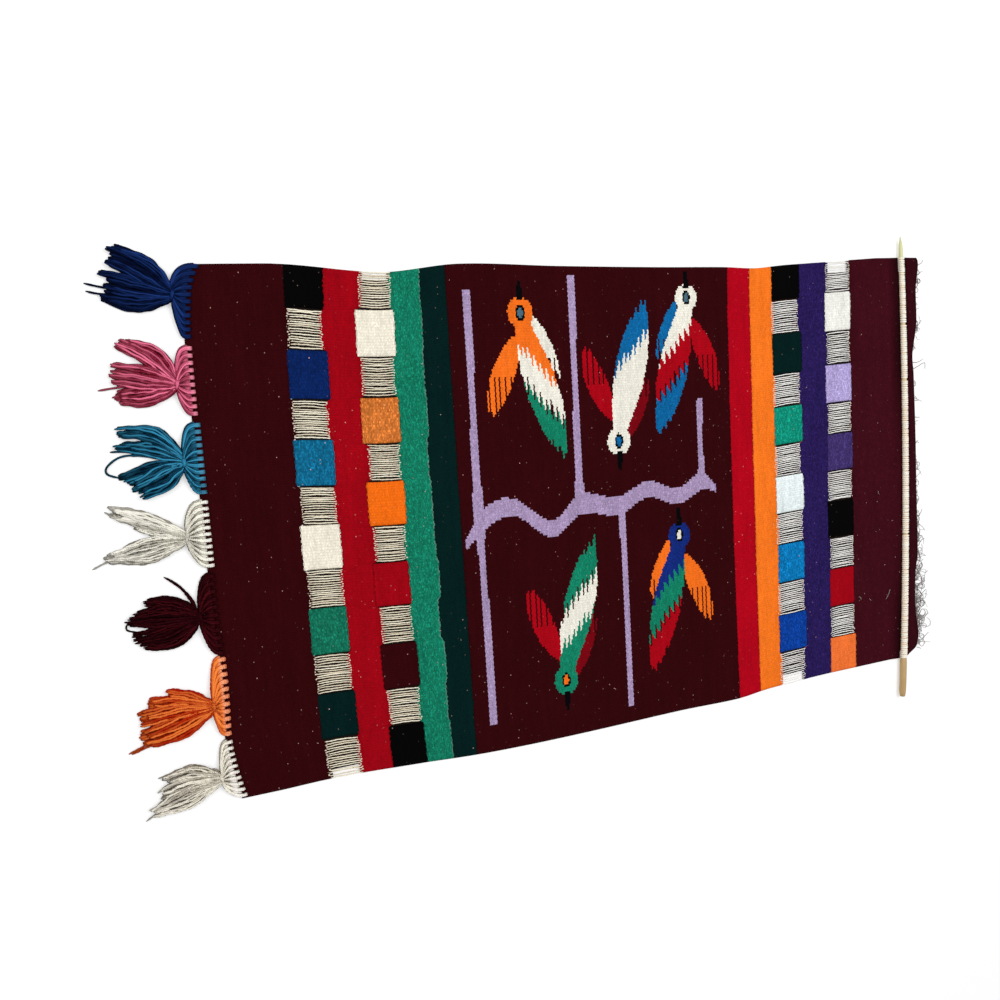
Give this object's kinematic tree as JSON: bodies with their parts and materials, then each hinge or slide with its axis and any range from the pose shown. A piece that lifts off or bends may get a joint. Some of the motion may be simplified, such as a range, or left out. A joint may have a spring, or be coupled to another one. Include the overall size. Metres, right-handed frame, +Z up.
{
  "type": "zapotec wool rug with hanging rod",
  "caption": "Flat-woven wool tapestry rug laid flat, with bare-warp check columns, yarn tassels on one end and a wooden hanging rod woven into the other.",
  "frame": {"origin": "on the surface the rug lies on, under the middle of its whole outline, tassels, rod and frayed ends counted", "axes": "+X along the warp from the tassels to the rod, +Y across the cloth to the far selvage, +Z up out of the face"},
  "size_m": [1.1636, 0.692, 0.0129],
  "materials": {
    "woven_wool": "matt weft-faced wool, ribbed by the warp",
    "warp_yarn": "matt undyed cream warp",
    "rod_wood": "bare whittled wood, satin",
    "navy_yarn": "thick plied wool",
    "pink_yarn": "thick plied wool",
    "teal_yarn": "thick plied wool",
    "cream_yarn": "thick plied wool",
    "maroon_yarn": "thick plied wool",
    "orange_yarn": "thick plied wool"
  },
  "bodies": {
    "root": {"woven_field": "woven_wool", "hanging_rod": "rod_wood", "frayed_ends": "warp_yarn", "tassel_1": "navy_yarn", "tassel_2": "pink_yarn", "tassel_3": "teal_yarn", "tassel_4": "cream_yarn", "tassel_5": "maroon_yarn", "tassel_6": "orange_yarn", "tassel_7": "cream_yarn"}
  },
  "joints": []
}
